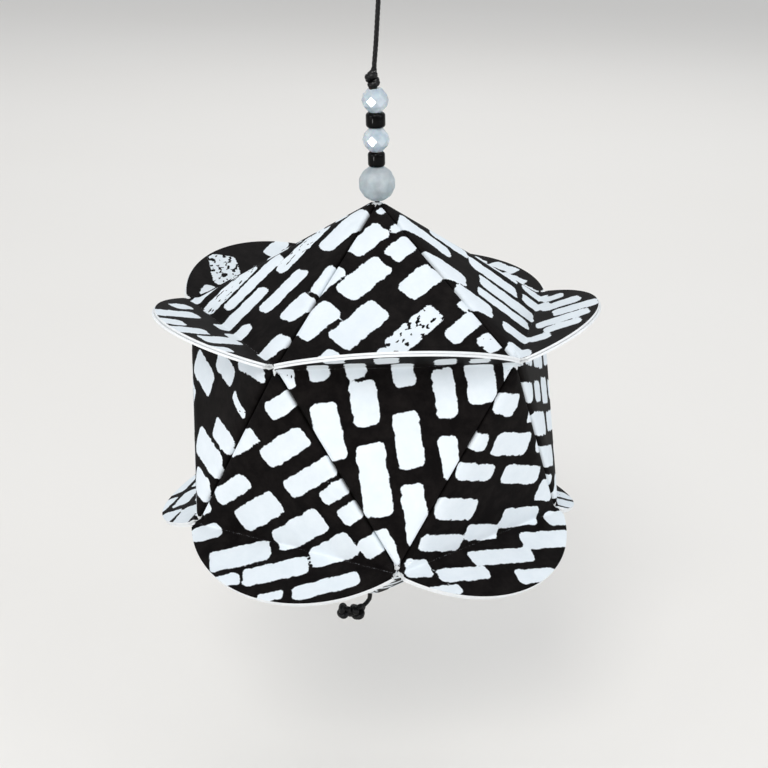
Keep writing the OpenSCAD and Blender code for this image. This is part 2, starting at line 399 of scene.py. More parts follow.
def makePrintedCard():
    # Uncoated card, screen-printed black round bare dabs: a flat soft black with hardly any
    # shine, and a bluish white whose edges look left by a dry brush.
    look = printedCardLook
    m = newMaterial("screenPrintedCard")
    uv = addNode(m, "ShaderNodeUVMap", uv_map="print").outputs[0]
    dab = addNode(m, "ShaderNodeAttribute", attribute_name="dab").outputs["Fac"]
    dry = addNode(m, "ShaderNodeAttribute", attribute_name="dry").outputs["Fac"]
    crease = addNode(m, "ShaderNodeAttribute", attribute_name="crease").outputs["Fac"]
    # the print map is in mm: x runs along the strokes, y across them
    ragged = addNode(m, "ShaderNodeTexNoise", {"Vector": uv, "Scale": 0.42, "Detail": 2.0,
                     "Roughness": 0.55}, noise_dimensions="2D").outputs[0]
    frayed = addNode(m, "ShaderNodeTexNoise", {"Vector": uv, "Scale": 2.1, "Detail": 3.0,
                     "Roughness": 0.6}, noise_dimensions="2D").outputs[0]
    wander = addNode(m, "ShaderNodeMapRange", {"Value": ragged, "From Min": 0.2, "From Max": 0.8,
                     "To Min": -look["ragged"], "To Max": look["ragged"]}).outputs[0]
    fray = addNode(m, "ShaderNodeMapRange", {"Value": frayed, "From Min": 0.2, "From Max": 0.8,
                   "To Min": -look["frayed"], "To Max": look["frayed"]}).outputs[0]
    smaller = addNode(m, "ShaderNodeMath", {0: dab, 1: look["inset"]},
                      operation="ADD").outputs[0]
    moved = addNode(m, "ShaderNodeMath", {0: smaller, 1: wander}, operation="ADD").outputs[0]
    edge = addNode(m, "ShaderNodeMath", {0: moved, 1: fray}, operation="ADD").outputs[0]
    bare = addNode(m, "ShaderNodeMapRange", {"Value": edge, "From Min": 0.07,
                   "From Max": -0.07}).outputs[0]
    # a dry dab is broken by black specks drawn out along the stroke
    drag = addNode(m, "ShaderNodeMapping", {"Vector": uv, "Scale": (0.62, 1.0, 1)}).outputs[0]
    specks = addNode(m, "ShaderNodeTexNoise", {"Vector": drag, "Scale": 0.85, "Detail": 1.5,
                     "Roughness": 0.6}, noise_dimensions="2D").outputs[0]
    needed = addNode(m, "ShaderNodeMapRange", {"Value": dry, "To Min": 0.95,
                     "To Max": 0.55}).outputs[0]
    over = addNode(m, "ShaderNodeMath", {0: specks, 1: needed}, operation="SUBTRACT").outputs[0]
    holes = addNode(m, "ShaderNodeMapRange", {"Value": over, "From Min": 0.0,
                    "From Max": 0.03}).outputs[0]
    white = addNode(m, "ShaderNodeMath", {0: bare, 1: holes}, operation="SUBTRACT",
                    use_clamp=True).outputs[0]
    # ink cracked off in flecks along the creases, and thin in faint patches
    line = addNode(m, "ShaderNodeMapRange", {"Value": crease, "From Min": 0.05, "From Max": 0.35,
                   "To Min": 0.62, "To Max": 0.0}).outputs[0]
    cracks = addNode(m, "ShaderNodeTexNoise", {"Vector": uv, "Scale": 3.4, "Detail": 5.0,
                     "Roughness": 0.8}, noise_dimensions="2D").outputs[0]
    broken = addNode(m, "ShaderNodeMath", {0: line, 1: cracks}, operation="ADD").outputs[0]
    flecks = addNode(m, "ShaderNodeMapRange", {"Value": broken, "From Min": 1.16,
                     "From Max": 1.26, "To Max": 0.5}).outputs[0]
    mottle = addNode(m, "ShaderNodeTexNoise", {"Vector": uv, "Scale": 0.2, "Detail": 6.0,
                     "Roughness": 0.75}, noise_dimensions="2D").outputs[0]
    worn = addNode(m, "ShaderNodeMapRange", {"Value": mottle, "From Min": 0.4, "From Max": 0.75,
                   "To Max": 0.8}).outputs[0]
    shown = addNode(m, "ShaderNodeMath", {0: white, 1: flecks}, operation="MAXIMUM").outputs[0]
    ink = addNode(m, "ShaderNodeMix", {0: worn, 6: srgb(look["ink"]), 7: srgb(look["inkWorn"])},
                  data_type="RGBA").outputs[2]
    blank = addNode(m, "ShaderNodeMix", {0: mottle, 6: srgb(look["blank"]),
                    7: srgb(look["blankShade"])}, data_type="RGBA").outputs[2]
    colour = addNode(m, "ShaderNodeMix", {0: shown, 6: ink, 7: blank},
                     data_type="RGBA").outputs[2]
    matt = addNode(m, "ShaderNodeMapRange", {"Value": white, "To Min": 0.6,
                   "To Max": 0.72}).outputs[0]
    tooth = addNode(m, "ShaderNodeTexNoise", {"Vector": uv, "Scale": look["tooth"],
                    "Detail": 3.0}, noise_dimensions="2D").outputs[0]
    height = addNode(m, "ShaderNodeMath", {0: tooth, 1: white}, operation="SUBTRACT").outputs[0]
    bump = addNode(m, "ShaderNodeBump", {"Height": height, "Strength": 0.16,
                   "Distance": 0.00006}).outputs[0]
    shader = addNode(m, "ShaderNodeBsdfPrincipled", {"Base Color": colour, "Roughness": matt,
                     "IOR": 1.48, "Specular IOR Level": 0.03, "Normal": bump})
    return finishMaterial(m, shader)


def makeBareCard():
    # The back and cut edge of the same card: bleached pulp, fully matt, a little furry.
    m = newMaterial("bareCardStock")
    at = addNode(m, "ShaderNodeTexCoord").outputs["Object"]
    pulp = addNode(m, "ShaderNodeTexNoise", {"Vector": at, "Scale": 900.0, "Detail": 4.0,
                   "Roughness": 0.7}).outputs[0]
    colour = addNode(m, "ShaderNodeMix", {0: pulp, 6: srgb("#eef0f0"), 7: srgb("#d5d8da")},
                     data_type="RGBA").outputs[2]
    bump = addNode(m, "ShaderNodeBump", {"Height": pulp, "Strength": 0.25,
                   "Distance": 0.00008}).outputs[0]
    shader = addNode(m, "ShaderNodeBsdfPrincipled", {"Base Color": colour, "Roughness": 0.85,
                     "IOR": 1.45, "Specular IOR Level": 0.3, "Normal": bump})
    return finishMaterial(m, shader)


def makeWaxedCord():
    # Waxed twisted polyester: near-black plies with a low wax shine and fine fibres.
    m = newMaterial("waxedPolyesterCord")
    at = addNode(m, "ShaderNodeTexCoord").outputs["Object"]
    fibre = addNode(m, "ShaderNodeTexNoise", {"Vector": at, "Scale": 5200.0, "Detail": 2.0,
                    "Roughness": 0.6}).outputs[0]
    colour = addNode(m, "ShaderNodeMix", {0: fibre, 6: srgb("#030303"), 7: srgb("#0e0d0e")},
                     data_type="RGBA").outputs[2]
    rough = addNode(m, "ShaderNodeMapRange", {"Value": fibre, "To Min": 0.24,
                    "To Max": 0.42}).outputs[0]
    bump = addNode(m, "ShaderNodeBump", {"Height": fibre, "Strength": 0.35,
                   "Distance": 0.00004}).outputs[0]
    shader = addNode(m, "ShaderNodeBsdfPrincipled", {"Base Color": colour, "Roughness": rough,
                     "IOR": 1.5, "Specular IOR Level": 0.2, "Normal": bump})
    return finishMaterial(m, shader)


def makeJetGlass():
    # Opaque black glass, fire-polished: hard small highlights on a deep black.
    m = newMaterial("firePolishedJetGlass")
    at = addNode(m, "ShaderNodeTexCoord").outputs["Object"]
    ripple = addNode(m, "ShaderNodeTexNoise", {"Vector": at, "Scale": 700.0,
                     "Detail": 1.0}).outputs[0]
    colour = addNode(m, "ShaderNodeMix", {0: ripple, 6: srgb("#000000"), 7: srgb("#040405")},
                     data_type="RGBA").outputs[2]
    bump = addNode(m, "ShaderNodeBump", {"Height": ripple, "Strength": 0.12,
                   "Distance": 0.0001}).outputs[0]
    shader = addNode(m, "ShaderNodeBsdfPrincipled", {"Base Color": colour, "Roughness": 0.06,
                     "IOR": 1.52, "Specular IOR Level": 0.1, "Normal": bump})
    return finishMaterial(m, shader)


def makeOpalGlass():
    # Pressed opal glass with a thin lustre: milky pale blue, bright crisp facets.
    m = newMaterial("pressedOpalGlass")
    at = addNode(m, "ShaderNodeTexCoord").outputs["Object"]
    cloud = addNode(m, "ShaderNodeTexNoise", {"Vector": at, "Scale": 330.0, "Detail": 2.0,
                    "Roughness": 0.5}).outputs[0]
    spread = addNode(m, "ShaderNodeMapRange", {"Value": cloud, "From Min": 0.32,
                     "From Max": 0.68}).outputs[0]
    colour = addNode(m, "ShaderNodeMix", {0: spread, 6: srgb("#b9cad6"), 7: srgb("#e6f0f6")},
                     data_type="RGBA").outputs[2]
    shader = addNode(m, "ShaderNodeBsdfPrincipled", {"Base Color": colour, "Roughness": 0.05,
                     "IOR": 1.56, "Subsurface Weight": 0.25, "Subsurface Scale": 0.0012,
                     "Transmission Weight": 0.35, "Coat Weight": 0.8, "Coat Roughness": 0.03,
                     "Coat IOR": 1.7})
    return finishMaterial(m, shader)


def makeFrostedGlass():
    # Tumbled frosted glass: grey-blue, lets a blurred light through, no sharp highlight.
    m = newMaterial("tumbledFrostedGlass")
    at = addNode(m, "ShaderNodeTexCoord").outputs["Object"]
    cloud = addNode(m, "ShaderNodeTexNoise", {"Vector": at, "Scale": 420.0, "Detail": 5.0,
                    "Roughness": 0.62}).outputs[0]
    spread = addNode(m, "ShaderNodeMapRange", {"Value": cloud, "From Min": 0.34,
                     "From Max": 0.68}).outputs[0]
    colour = addNode(m, "ShaderNodeMix", {0: spread, 6: srgb("#b4c0c5"), 7: srgb("#d6dfe2")},
                     data_type="RGBA").outputs[2]
    frost = addNode(m, "ShaderNodeTexNoise", {"Vector": at, "Scale": 4500.0,
                    "Detail": 2.0}).outputs[0]
    bump = addNode(m, "ShaderNodeBump", {"Height": frost, "Strength": 0.2,
                   "Distance": 0.00004}).outputs[0]
    shader = addNode(m, "ShaderNodeBsdfPrincipled", {"Base Color": colour, "Roughness": 0.42,
                     "IOR": 1.5, "Specular IOR Level": 0.3, "Subsurface Weight": 0.2,
                     "Subsurface Scale": 0.002, "Transmission Weight": 0.5, "Normal": bump})
    return finishMaterial(m, shader)


printedCard = makePrintedCard()
bareCard = makeBareCard()
waxedCord = makeWaxedCord()
jetGlass = makeJetGlass()
opalGlass = makeOpalGlass()
frostedGlass = makeFrostedGlass()


def finishIn(obj, *materials):
    obj.data.materials.clear()
    for material in materials:
        obj.data.materials.append(material)


for piece in (hangingCord, topKnot, loopKnot, bottomKnot):
    finishIn(piece, waxedCord)
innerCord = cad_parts["inner_cord"]
finishIn(innerCord, waxedCord)
print("materials made")


# The beads.

beads = {
    "big": {"node": "big_bead", "z": 0.06, "d": 8.1, "h": 7.4, "sides": 10, "turn": 0,
            "rings": [-66, -42, -14, 14, 42, 66], "soften": 0.22},
    "lowerFaceted": {"node": "lower_faceted_bead", "z": 10.86, "d": 6.0, "h": 5.2, "sides": 8,
                     "turn": -2.5, "rings": [-60, -23, 0, 23, 60], "soften": 0.05},
    "upperFaceted": {"node": "upper_faceted_bead", "z": 19.46, "d": 6.0, "h": 5.2, "sides": 8,
                     "turn": -2.5, "rings": [-60, -23, 0, 23, 60], "soften": 0.05},
    "lowerSeed": {"node": "lower_seed_bead", "z": 7.46, "d": 3.8, "h": 3.4, "round": 0.75},
    "upperSeed": {"node": "upper_seed_bead", "z": 16.06, "d": 4.3, "h": 3.4, "round": 0.75},
    "bore": 1.4,
}


def boreThrough(obj, height):
    deselectAll()
    bpy.ops.mesh.primitive_cylinder_add(vertices=32, radius=beads["bore"] / 2 * mm,
                                        depth=height * 3 * mm, location=(0, 0, height / 2 * mm))
    drill = bpy.context.object
    cut = obj.modifiers.new("bore", "BOOLEAN")
    cut.operation, cut.solver, cut.object = "DIFFERENCE", "EXACT", drill
    applyModifiers(obj)
    bpy.data.objects.remove(drill)


def facetedBead(name, size):
    # rings of corners, each turned half a step from the last, cut into triangular facets
    deselectAll()
    rings, sides = size["rings"], size["sides"]
    top, waist = math.radians(rings[-1]), math.radians(min(abs(r) for r in rings))
    radius = [size["d"] / 2 * math.cos(math.radians(r)) / math.cos(waist) for r in rings]
    level = [size["h"] / 2 * (1 + math.sin(math.radians(r)) / math.sin(top)) for r in rings]
    bpy.ops.mesh.primitive_circle_add(vertices=sides, radius=radius[0] * mm, fill_type="NGON")
    bead = bpy.context.object
    bead.name = name
    # a first corner on +X, where the primitive puts it on +Y
    placeAndApply(bead, turn(-90, "Z"))
    bpy.ops.object.mode_set(mode="EDIT")
    bpy.ops.mesh.select_all(action="SELECT")
    for i in range(1, len(rings)):
        grow = radius[i] / radius[i - 1]
        bpy.ops.mesh.extrude_region_move(TRANSFORM_OT_translate={
            "value": (0, 0, (level[i] - level[i - 1]) * mm)})
        bpy.ops.transform.resize(value=(grow, grow, 1), center_override=(0, 0, level[i] * mm))
        turnSelected(180 / sides * (1 if i % 2 else -1), "Z", (0, 0, level[i] * mm))
    bpy.ops.mesh.select_all(action="SELECT")
    bpy.ops.mesh.normals_make_consistent(inside=False)
    bm = bmesh.from_edit_mesh(bead.data)
    for face in bm.faces:
        face.select_set(len(face.verts) == 4)
    bmesh.update_edit_mesh(bead.data)
    bpy.ops.mesh.quads_convert_to_tris(quad_method="SHORTEST_DIAGONAL")
    bpy.ops.object.mode_set(mode="OBJECT")
    soft = bead.modifiers.new("soften", "BEVEL")
    soft.width, soft.segments = size["soften"] * mm, 2
    soft.limit_method, soft.angle_limit = "ANGLE", math.radians(6)
    applyModifiers(bead)
    boreThrough(bead, size["h"])
    if size["soften"] > 0.1:
        bpy.ops.object.shade_smooth_by_angle(angle=math.radians(50))
    else:
        bpy.ops.object.shade_flat()
    return bead


def seedBead(name, size):
    deselectAll()
    bpy.ops.mesh.primitive_cylinder_add(vertices=56, radius=size["d"] / 2 * mm,
                                        depth=size["h"] * mm, location=(0, 0, size["h"] / 2 * mm))
    bead = bpy.context.object
    bead.name = name
    bpy.ops.object.transform_apply(location=True, rotation=True, scale=True)
    bpy.ops.object.mode_set(mode="EDIT")
    bpy.ops.mesh.select_all(action="DESELECT")
    bm = bmesh.from_edit_mesh(bead.data)
    bm.select_mode = {"EDGE"}
    for edge in bm.edges:
        rim = abs(edge.verts[0].co.z - edge.verts[1].co.z) < 1e-7
        edge.select_set(rim)
    bmesh.update_edit_mesh(bead.data)
    bpy.ops.mesh.bevel(offset=size["round"] * mm, segments=8, profile=0.5, affect="EDGES")
    bpy.ops.object.mode_set(mode="OBJECT")
    boreThrough(bead, size["h"])
    bpy.ops.object.shade_smooth_by_angle(angle=math.radians(35))
    return bead


def threadBead(bead, size, material):
    lean = turn(-rowOfBeads["lean"], "Y")
    base = onRow(size["z"])
    placeAndApply(bead, shift(*base) @ lean @ turn(size.get("turn", 0), "Z"))
    finishIn(bead, material)
    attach(bead, "root")
    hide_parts(size["node"])


threadBead(facetedBead("bigBead", beads["big"]), beads["big"], frostedGlass)
for key in ("lowerFaceted", "upperFaceted"):
    threadBead(facetedBead(key + "Bead", beads[key]), beads[key], opalGlass)
for key in ("lowerSeed", "upperSeed"):
    threadBead(seedBead(key + "Bead", beads[key]), beads[key], jetGlass)
print("beads made")


# The print, as rounded dabs on the flat circle.

# Each dab is (across, down, length, width, and maybe its own angle, how dry), in mm on the
# flat circle with its fin at the bottom; the lean is the angle of the strokes.
prints = {
    "top_disc_1": {"lean": 42, "dabs": [
        (-3.3, -17.5, 10.5, 5), (3.8, -15, 7.5, 5), (-5, -7, 13, 6), (7, -6, 10, 6),
        (-13, -7, 10, 4), (-16, 3.5, 11, 6), (-7, 5, 14, 6.5), (4.5, 6.5, 15, 5.5, 42, 0.9),
        (15, 6, 10, 4.5), (20, 10, 5, 5, 42, 0.7), (-16, 15.5, 11, 5), (-5, 16, 12, 5.5),
        (26, 12.5, 5, 3), (1, -26, 4, 2), (3.5, -21, 4, 2.5), (16.5, -0.5, 5, 3),
        (6, 18.5, 12, 5), (15, 19, 10, 5), (-12, 24, 9, 5), (-1, 25.5, 11, 5), (10, 26, 8, 4.5)]},
    "top_disc_5": {"lean": 96, "dabs": [
        (1.5, -19, 13.5, 7), (-5.3, -10.5, 16, 5, 98, 0.7), (-9, 2.5, 18, 5), (4, 0.2, 13.5, 5.6),
        (-2, 9.5, 15.5, 5.4), (-14.5, 7, 16, 5.6, 96, 0.75), (-22, 11.5, 7.5, 4.5),
        (13, -7.5, 9, 6, 115), (14, 1.5, 8, 6.5), (5.8, 14, 7, 5), (20, 11.5, 8, 5, 100),
        (-16, 20, 6, 4.5, 110), (-8, 24.5, 13, 5.5, 104), (0, 28, 7, 5), (5.5, 26, 10, 5, 100),
        (10.5, 20.5, 10, 5.6, 105), (18, 23.5, 6, 4)]},
    "top_disc_2": {"lean": 100, "dabs": [
        (-1, -16, 14.5, 5.4, 102), (7, -11, 11.4, 5.4, 110), (-9.5, -9, 12.5, 6.5, 106),
        (-14, 0.5, 10, 7, 104), (8.5, 2, 14.5, 5.9, 106), (16.5, 1.5, 13.8, 4.6, 110),
        (-5, 7, 15, 5.1, 102), (2, 7, 16, 6.4, 101), (-13.5, 12, 8, 5.2), (-22.5, 14, 6, 6),
        (12, 14, 8, 5.8), (19, 13, 8, 4.6), (-13, 18, 5, 5.2), (-8, 22.5, 9, 5.2),
        (-2.5, 22, 12.6, 5.5), (4, 24.5, 11, 5.9, 94), (10.5, 20.5, 9.6, 6), (17.5, 18, 5.4, 4.8)]},
    "top_disc_3": {"lean": 150, "finOnly": True, "dabs": [
        (-21.5, 14.5, 8, 3.4), (-15.5, 19.5, 9, 3.6, 158), (-8, 17.5, 8, 4, 160), (2, 20, 9, 5),
        (13, 19, 10, 5.4), (-11, 25, 9, 3.6, 158), (-3, 26.5, 6, 3.4), (9, 25.5, 8, 4)]},
    "top_disc_4": {"lean": 32, "finOnly": True, "dabs": [
        (-14, 19.5, 12, 4.4, 28), (0, 17.2, 9, 3.4, 24), (10, 21.5, 13, 7.6, 62, 0.95),
        (-9, 25.5, 10, 4, 26), (19.5, 15.5, 6, 3.6, 34)]},
    "upper_disc_1": {"lean": 98, "dabs": [
        (2.5, -24, 9, 4.5, 110), (-3.8, -17, 14, 5.5), (4.8, -9.3, 16, 6.5), (-11, -5, 10, 4.5),
        (-2.3, -1, 12.5, 6), (14.3, 1.2, 13, 6, 102), (-10, 8.7, 11, 5), (6.8, 7, 10, 6),
        (-17.5, 11, 10, 6.5), (-1, 15, 10, 5), (9, 17, 10, 4.8), (16.5, 16, 9, 4.8),
        (-24, 14, 8, 4.2), (23, 13, 6, 4, 98, 0.6), (-9, 21, 9, 5), (3.5, 24.5, 9, 5.4),
        (-16, 21.5, 7, 4.6), (14, 25, 6, 4.6)]},
    "upper_disc_5": {"lean": -9, "dabs": [
        (-0.5, -20.3, 8.5, 6.2), (-1.5, -12.5, 15, 6.8), (-7.5, -6.5, 10.5, 5.4),
        (-13, 2.6, 8, 2.4, -22, 0.6), (8.5, 2.8, 12.5, 6.6, -13), (-3, 7.5, 11, 5),
        (-16, 12, 14, 4.4, 4), (16, -2.5, 10, 4.5, -24), (4, -27, 5, 3), (9, -17, 5, 4.5, -24),
        (12, 12.5, 11, 4.8), (-10, 20, 12, 5), (4, 18.5, 12, 5.5), (16, 21, 9, 5),
        (-3, 26, 12, 5)]},
    "lower_disc_5": {"lean": 38, "dabs": [
        (1, -21, 8.5, 4.5), (1, -11, 14, 5.5), (6.3, -4.7, 15, 5), (12, -2.5, 8, 4),
        (15.5, 2, 6.5, 4.5), (20, 9, 7, 5), (-14, 3, 12, 4.5), (-7.5, 7, 14, 6.3),
        (2.5, 9.5, 16, 6.3), (10.7, 12.7, 13, 6.3), (-10, -9.5, 11, 4), (-23, 10, 5, 4),
        (-21, 16.5, 7.5, 5), (-10, 20.5, 14, 6.5, 35), (0, 22, 15, 5.6, 35),
        (12.7, 22.3, 15, 4.6, 36), (-9, 27.5, 6, 4, 32), (2.5, 28.7, 6, 3, 32)]},
    "lower_disc_1": {"lean": -18, "dabs": [
        (-1.3, -20, 7, 5.5), (-7.8, -12.5, 5, 4.5), (2.7, -9.3, 13, 6, -15), (-7, -5, 12, 4.5),
        (8.3, 0, 14, 5, -18), (14.5, -6, 6, 5), (9, -14.5, 5, 4), (-11, 3, 13, 5.5),
        (-14, 10.5, 14, 4.5), (-1.2, 12, 12, 4.5), (11, 12, 13.5, 5.5, -15), (19, 7.5, 8, 5.5),
        (-21, 15, 7, 5.5), (-11.8, 20.6, 13, 4.2), (0.5, 20.2, 16.5, 4.7, -18, 0.25),
        (15, 20.7, 14, 5.5), (22.5, 16.5, 7, 5), (4.5, 28, 11, 4.4, -18, 0.35), (-19, 22.5, 8, 3)]},
    "bottom_disc_5": {"lean": 34, "dabs": [
        (2, -20, 8, 5), (-8, -13, 9, 5), (5, -9, 12, 5.5), (-4, -4, 13, 5.5), (-15, -2, 9, 5),
        (7, 1.5, 12, 5.5), (-7, 6, 13, 6), (-19, 7, 11, 5.5), (3, 12, 13, 5.5), (13, 9, 9, 5),
        (-13, 15, 12, 5.5), (-24, 14, 7, 4), (-3, 20, 12, 5.5), (9.5, 20.5, 12, 5.5),
        (-15, 23, 9, 4.5), (1, 27, 11, 4), (18, 17, 8, 4), (24, 11.5, 5, 1.5, 20),
        (22, 8.2, 5, 1.5, 20), (20.3, 4.9, 5, 1.5, 20)]},
}
unseenPrint = {
    "pitch": 7.4,           # from one column of dabs to the next
    "width": (4.8, 6.6), "length": (8.5, 15.5), "gap": (1.7, 2.6), "dryShare": 0.14,
    "leans": [-50, 96, 100, 30, -9, 98, 38, -18, 64, 12],
}


def columnsOfDabs(lean, seed):
    # a made-up print of the same kind: columns of dabs along the stroke, laid like bricks
    rng = random.Random(seed)
    low, high = unseenPrint["width"]
    dabs = []
    a = math.radians(lean)
    for column in range(-5, 6):
        side = column * unseenPrint["pitch"] + rng.uniform(-0.5, 0.5)
        along = -34 + rng.uniform(0, 14)
        while along < 34:
            length = rng.uniform(*unseenPrint["length"])
            mid = along + length / 2
            width = rng.uniform(low, high)
            dry = rng.uniform(0.5, 0.9) if rng.random() < unseenPrint["dryShare"] else 0
            # across and down, with the stroke rising to the right at the lean
            x = mid * math.cos(a) + side * math.sin(a)
            y = -mid * math.sin(a) + side * math.cos(a)
            if math.hypot(x, y) < 36:
                dabs.append((x, y, length, width, lean + rng.uniform(-4, 4), dry))
            along += length + rng.uniform(*unseenPrint["gap"])
    return {"lean": lean, "dabs": dabs}


def paintDabs(mesh, flat, plan):
    # distance to the nearest dab's edge, negative inside it, and how dry that dab is
    across, down = flat[:, 1], flat[:, 0]
    best = np.full(len(flat), 99.0)
    dryness = np.zeros(len(flat))
    for dab in plan["dabs"]:
        x, y, length, width = dab[:4]
        angle = math.radians(dab[4] if len(dab) > 4 else plan["lean"])
        dry = dab[5] if len(dab) > 5 else 0.0
        corner = min(1.5, width * 0.32)
        u = (across - x) * math.cos(angle) - (down - y) * math.sin(angle)
        v = (across - x) * math.sin(angle) + (down - y) * math.cos(angle)
        du = np.abs(u) - (length / 2 - corner)
        dv = np.abs(v) - (width / 2 - corner)
        outside = np.hypot(np.maximum(du, 0), np.maximum(dv, 0))
        distance = outside + np.minimum(np.maximum(du, dv), 0) - corner
        nearer = distance < best
        best[nearer] = distance[nearer]
        dryness[nearer] = dry
    for name, values in (("dab", best), ("dry", dryness)):
        layer = mesh.attributes.new(name, "FLOAT", "POINT")
        layer.data.foreach_set("value", values.astype(np.float32))


# The circles: drawn flat, folded, then given their thickness.

card = {
    "diameter": 60, "thick": 0.5, "rim": 128,
    "cell": 0.75,           # spacing of the grid that carries the print
    "innerRadius": 0.55,    # folds, to the middle of the card
    "finRadius": 0.75,
    "innerStart": 13.62, "innerTurn": 110.905,
    "ease": [(2.8, 3.6), (2.0, 4), (1.2, 4.4), (0.5, 4.8)],   # (before the fold, degrees)
    "squareFin": 69.095, "crease": 15,
    "foldSteps": 8,
    "cornerGap": 0.8,
    "glueHalf": 0.05,       # half the gap between two flaps
    "slitSlack": 0.02, "trimSlack": 0.3, "foldSlack": 0.004,
    "smoothUnder": 28,      # edges bent less than this are shaded smooth, in degrees
    "capTilt": 37.377, "bandTilt": 79.188, "faceHeight": 39.27,
    "droop": [5, 12, 24, 10, 17],
    "rise": [7, 8, 7, 5, 8],
}
cornerAngles = (60, 180, 300)


def toward(degrees):
    return Vector((math.cos(math.radians(degrees)), math.sin(math.radians(degrees)), 0))


def cutAcross(distance, degrees):
    # a line across the flat circle, square to the given direction
    bpy.ops.mesh.select_all(action="SELECT")
    bpy.ops.mesh.bisect(plane_co=toward(degrees) * distance * mm, plane_no=toward(degrees))


def foldLines(start, radius, degrees, ease=()):
    # where a round fold bends, from the nearest line to the farthest, with each line's share
    steps = card["foldSteps"]
    arc = radius * math.radians(degrees)
    degrees = degrees - sum(part for _, part in ease)
    turns = [degrees / steps * (0.5 if i in (0, steps) else 1) for i in range(steps + 1)]
    eased = [(start - before, part) for before, part in ease]
    return eased + [(start + arc * i / steps, turns[i]) for i in range(steps + 1)]


def innerLines():
    return foldLines(card["innerStart"], card["innerRadius"], card["innerTurn"], card["ease"])


def makeFlatCard():
    deselectAll()
    bpy.ops.mesh.primitive_circle_add(vertices=card["rim"], radius=card["diameter"] / 2 * mm,
                                      fill_type="NGON")
    sheet = bpy.context.object
    sheet.name = "flatCard"
    bpy.ops.object.mode_set(mode="EDIT")
    half = card["diameter"] / 2
    count = int(half / card["cell"])
    for i in range(-count, count + 1):
        place = (i + 0.02) * card["cell"]
        cutAcross(place, 0)
        cutAcross(place, 90)
    for side in (120, 240):
        for distance, _ in innerLines():
            cutAcross(distance, side)
    for corner in cornerAngles:
        cutAcross(0, corner + 90)
    bpy.ops.object.mode_set(mode="OBJECT")
    return sheet


def flatPlaces(mesh):
    places = np.empty(len(mesh.vertices) * 3)
    mesh.vertices.foreach_get("co", places)
    return places.reshape(-1, 3)[:, :2] / mm


def openCorners(sheet, finStart):
    # slits the card from the corners of the panel outward, and trims the tips of the flaps
    bpy.ops.object.mode_set(mode="EDIT")
    bpy.ops.mesh.select_all(action="DESELECT")
    bm = bmesh.from_edit_mesh(sheet.data)
    bm.select_mode = {"EDGE"}
    inner = card["innerStart"]
    for edge in bm.edges:
        mid = (edge.verts[0].co + edge.verts[1].co) / 2 / mm
        along = (edge.verts[1].co - edge.verts[0].co).normalized()
        for corner in cornerAngles:
            out = toward(corner)
            # the panel's corner is where the two folds on either side of it begin
            a, b = (finStart if corner != 180 else inner), inner
            reach = max(a, b) / math.cos(math.radians(60))
            square = abs(out.x * along.y - out.y * along.x)
            off = abs(out.x * mid.y - out.y * mid.x)
            if off < 1e-3 and square < 1e-3 and mid.dot(out) > reach - card["slitSlack"]:
                edge.select_set(True)
    bmesh.update_edit_mesh(sheet.data)
    bpy.ops.mesh.edge_split(type="EDGE")
    bpy.ops.mesh.select_all(action="DESELECT")
    bm = bmesh.from_edit_mesh(sheet.data)
    bm.select_mode = {"FACE"}
    limit = card["diameter"] / 2 * math.sqrt(3) / 2 - card["cornerGap"]
    for face in bm.faces:
        mid = face.calc_center_median() / mm
        flap = flapOf(mid)
        line = finStart if flap == 0 else inner
        side = mid.dot(toward(flap + 90))
        beyond = mid.dot(toward(flap)) > line - card["trimSlack"]
        face.select_set(beyond and abs(side) > limit)
    bmesh.update_edit_mesh(sheet.data)
    bpy.ops.mesh.delete(type="FACE")
    bpy.ops.object.mode_set(mode="OBJECT")


def flapOf(place):
    # which of the three flaps' thirds of the circle a place is in: 0, 120 or 240 degrees
    return round(math.degrees(math.atan2(place.y, place.x)) / 120) % 3 * 120


def thirdOfVertices(mesh):
    thirds = np.zeros(len(mesh.vertices), dtype=int)
    for polygon in mesh.polygons:
        flap = flapOf(polygon.center)
        for index in polygon.vertices:
            thirds[index] = flap
    return thirds


def selectVertices(sheet, chosen):
    bpy.ops.mesh.select_all(action="DESELECT")
    bm = bmesh.from_edit_mesh(sheet.data)
    bm.select_mode = {"VERT"}
    bm.verts.ensure_lookup_table()
    for index in chosen:
        bm.verts[index].select_set(True)
    bm.select_flush_mode()
    bmesh.update_edit_mesh(sheet.data)


def foldFlap(sheet, flat, thirds, flap, lines, up):
    # turns the card beyond each line by its share, from the far line back to the near one
    reach = flat @ np.array(toward(flap)[:2])
    bpy.ops.object.mode_set(mode="EDIT")
    bpy.ops.mesh.select_all(action="SELECT")
    turnSelected(-flap, "Z", (0, 0, 0))
    for distance, degrees in reversed(lines):
        selectVertices(sheet, np.nonzero((thirds == flap) & (reach > distance + card["foldSlack"]))[0])
        turnSelected(-degrees if up else degrees, "Y", (distance * mm, 0, 0))
    bpy.ops.mesh.select_all(action="SELECT")
    turnSelected(flap, "Z", (0, 0, 0))
    bpy.ops.object.mode_set(mode="OBJECT")


def addPrintMap(mesh, flat, lean):
    # the print's own map in mm, turned so that x runs along the strokes
    layer = mesh.uv_layers.new(name="print")
    a = math.radians(lean)
    across, down = flat[:, 1], flat[:, 0]
    u = across * math.cos(a) - down * math.sin(a)
    v = across * math.sin(a) + down * math.cos(a)
    index = np.empty(len(mesh.loops), dtype=int)
    mesh.loops.foreach_get("vertex_index", index)
    layer.data.foreach_set("uv", np.stack([u[index], v[index]], axis=1).ravel())


